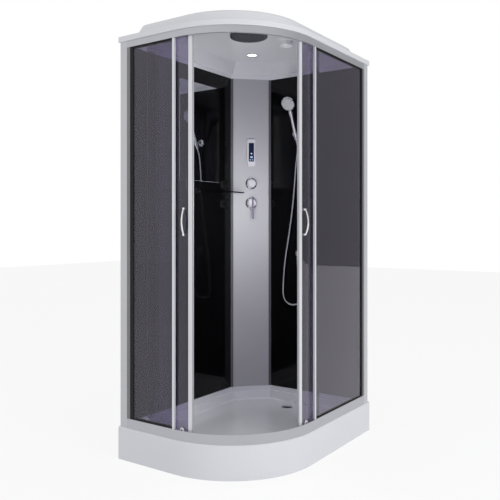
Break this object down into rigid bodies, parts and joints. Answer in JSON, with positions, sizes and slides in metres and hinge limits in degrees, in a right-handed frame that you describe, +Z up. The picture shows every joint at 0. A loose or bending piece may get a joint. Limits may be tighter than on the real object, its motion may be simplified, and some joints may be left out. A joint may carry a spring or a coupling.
{
  "type": "steam shower cabin",
  "caption": "Quadrant steam shower cabin: white tray and domed roof, black back walls, corner column with controls, smoked glass with two curved sliding doors, rain and hand shower.",
  "frame": {"origin": "on the floor, under the middle of the tray's outline", "axes": "+Z up; +Y along the long side towards the short back wall; the long back wall is at the low X side and the rounded entry at high X and low Y"},
  "size_m": [0.8029, 1.0919, 2.15],
  "materials": {
    "white_acrylic": "glossy",
    "zinc_steel": "galvanised",
    "grey_plastic": "smooth",
    "dark_chrome": "polished",
    "black_wall": "glossy",
    "silver_column": "satin",
    "dark_trim": "anodised",
    "pale_aluminium": "satin",
    "black_rubber": "matt",
    "smoked_glass": "tinted, polished",
    "chrome": "polished",
    "light_lens": "frosted",
    "white_plastic": "smooth",
    "mirror": "polished",
    "clear_glass": "polished",
    "black_display": "glossy",
    "brass": "machined",
    "hose_metal": "ribbed"
  },
  "bodies": {
    "cabin": {"tray": "white_acrylic", "tray_frame": "zinc_steel", "levelling_feet": "zinc_steel", "drain_trap": "grey_plastic", "drain_cover": "dark_chrome", "long_wall_panel": "black_wall", "short_wall_panel": "black_wall", "corner_column": "silver_column", "column_edge_trims": "dark_trim", "left_post": "pale_aluminium", "right_post": "pale_aluminium", "bottom_rail": "pale_aluminium", "top_rail": "pale_aluminium", "glass_gaskets": "black_rubber", "left_fixed_glass": "smoked_glass", "left_glass_channels": "pale_aluminium", "right_fixed_glass": "smoked_glass", "right_glass_channels": "pale_aluminium", "roof": "white_acrylic", "ceiling_panel": "white_acrylic", "rain_head": "dark_chrome", "light_bezel": "chrome", "light_lens": "light_lens", "vent_cover": "white_plastic", "mirror": "mirror", "shelf_glass": "clear_glass", "shelf_brackets": "chrome", "control_bezel": "silver_column", "control_display": "black_display", "valve_escutcheons": "chrome", "valve_body": "brass", "supply_pipes": "white_plastic", "holder_base": "chrome", "hose_elbow": "chrome", "hose": "hose_metal"},
    "left_door": {"left_door_glass": "smoked_glass", "left_door_profile": "pale_aluminium", "left_door_seals": "black_rubber", "left_door_handle": "chrome", "left_door_carriers": "chrome"},
    "right_door": {"right_door_glass": "smoked_glass", "right_door_profile": "pale_aluminium", "right_door_seals": "black_rubber", "right_door_handle": "chrome", "right_door_carriers": "chrome"},
    "diverter_knob": {"diverter_knob": "chrome"},
    "mixer_body": {"mixer_body": "chrome"},
    "mixer_lever": {"mixer_lever": "chrome"},
    "hand_shower": {"holder_cradle": "chrome", "hand_shower": "chrome", "spray_face": "grey_plastic", "hose_top_nut": "chrome"},
    "left_bottom_leading_roller": {"left_bottom_leading_roller": "white_plastic"},
    "left_bottom_trailing_roller": {"left_bottom_trailing_roller": "white_plastic"},
    "left_top_leading_roller": {"left_top_leading_roller": "white_plastic"},
    "left_top_trailing_roller": {"left_top_trailing_roller": "white_plastic"},
    "right_bottom_leading_roller": {"right_bottom_leading_roller": "white_plastic"},
    "right_bottom_trailing_roller": {"right_bottom_trailing_roller": "white_plastic"},
    "right_top_leading_roller": {"right_top_leading_roller": "white_plastic"},
    "right_top_trailing_roller": {"right_top_trailing_roller": "white_plastic"}
  },
  "joints": [
    {"name": "left_door_turn", "type": "hinge", "parent": "cabin", "child": "left_door", "pos_m": [-0.05, -0.095, 1.079], "axis": [0, 0, 1], "range_deg": [-2, 35.7]},
    {"name": "right_door_turn", "type": "hinge", "parent": "cabin", "child": "right_door", "pos_m": [-0.05, -0.095, 1.079], "axis": [0, 0, 1], "range_deg": [-32.7, 4]},
    {"name": "diverter_turn", "type": "hinge", "parent": "cabin", "child": "diverter_knob", "pos_m": [-0.271, 0.383, 1.357], "axis": [0.7071, -0.7071, 0], "range_deg": [-60, 60]},
    {"name": "mixer_swivel", "type": "hinge", "parent": "cabin", "child": "mixer_body", "pos_m": [-0.271, 0.383, 1.244], "axis": [0.7071, -0.7071, 0], "range_deg": [-45, 45]},
    {"name": "mixer_lift", "type": "hinge", "parent": "mixer_body", "child": "mixer_lever", "pos_m": [-0.24745, 0.35945, 1.244], "axis": [-0.7071, -0.7071, 0], "range_deg": [0, 25]},
    {"name": "hand_shower_tilt", "type": "hinge", "parent": "cabin", "child": "hand_shower", "pos_m": [0.008, 0.438, 1.634], "axis": [1, 0, 0], "range_deg": [-20, 25], "deforming": ["hose"]},
    {"name": "left_bottom_leading_roller_spin", "type": "hinge", "parent": "left_door", "child": "left_bottom_leading_roller", "pos_m": [-0.01987, -0.52595, 0.1978], "axis": [0.0698, -0.9976, 0], "range_deg": [-1640, 110]},
    {"name": "left_bottom_trailing_roller_spin", "type": "hinge", "parent": "left_door", "child": "left_bottom_trailing_roller", "pos_m": [-0.29157, -0.45314, 0.1978], "axis": [-0.5592, -0.829, 0], "range_deg": [-1640, 110]},
    {"name": "left_top_leading_roller_spin", "type": "hinge", "parent": "left_door", "child": "left_top_leading_roller", "pos_m": [-0.01987, -0.52595, 1.9663], "axis": [0.0698, -0.9976, 0], "range_deg": [-1640, 110]},
    {"name": "left_top_trailing_roller_spin", "type": "hinge", "parent": "left_door", "child": "left_top_trailing_roller", "pos_m": [-0.29157, -0.45314, 1.9663], "axis": [-0.5592, -0.829, 0], "range_deg": [-1640, 110]},
    {"name": "right_bottom_leading_roller_spin", "type": "hinge", "parent": "right_door", "child": "right_bottom_leading_roller", "pos_m": [0.38159, -0.11384, 0.1978], "axis": [0.999, -0.0436, 0], "range_deg": [-200, 1500]},
    {"name": "right_bottom_trailing_roller_spin", "type": "hinge", "parent": "right_door", "child": "right_bottom_trailing_roller", "pos_m": [0.3017, 0.15586, 0.1978], "axis": [0.8141, 0.5807, 0], "range_deg": [-200, 1500]},
    {"name": "right_top_leading_roller_spin", "type": "hinge", "parent": "right_door", "child": "right_top_leading_roller", "pos_m": [0.38159, -0.11384, 1.9663], "axis": [0.999, -0.0436, 0], "range_deg": [-200, 1500]},
    {"name": "right_top_trailing_roller_spin", "type": "hinge", "parent": "right_door", "child": "right_top_trailing_roller", "pos_m": [0.3017, 0.15586, 1.9663], "axis": [0.8141, 0.5807, 0], "range_deg": [-200, 1500]}
  ],
  "couplings": [
    {"joint": "left_bottom_leading_roller_spin", "follows": "left_door_turn", "ratio": -45.474},
    {"joint": "left_bottom_trailing_roller_spin", "follows": "left_door_turn", "ratio": -45.474},
    {"joint": "left_top_leading_roller_spin", "follows": "left_door_turn", "ratio": -45.474},
    {"joint": "left_top_trailing_roller_spin", "follows": "left_door_turn", "ratio": -45.474},
    {"joint": "right_bottom_leading_roller_spin", "follows": "right_door_turn", "ratio": -45.474},
    {"joint": "right_bottom_trailing_roller_spin", "follows": "right_door_turn", "ratio": -45.474},
    {"joint": "right_top_leading_roller_spin", "follows": "right_door_turn", "ratio": -45.474},
    {"joint": "right_top_trailing_roller_spin", "follows": "right_door_turn", "ratio": -45.474}
  ]
}
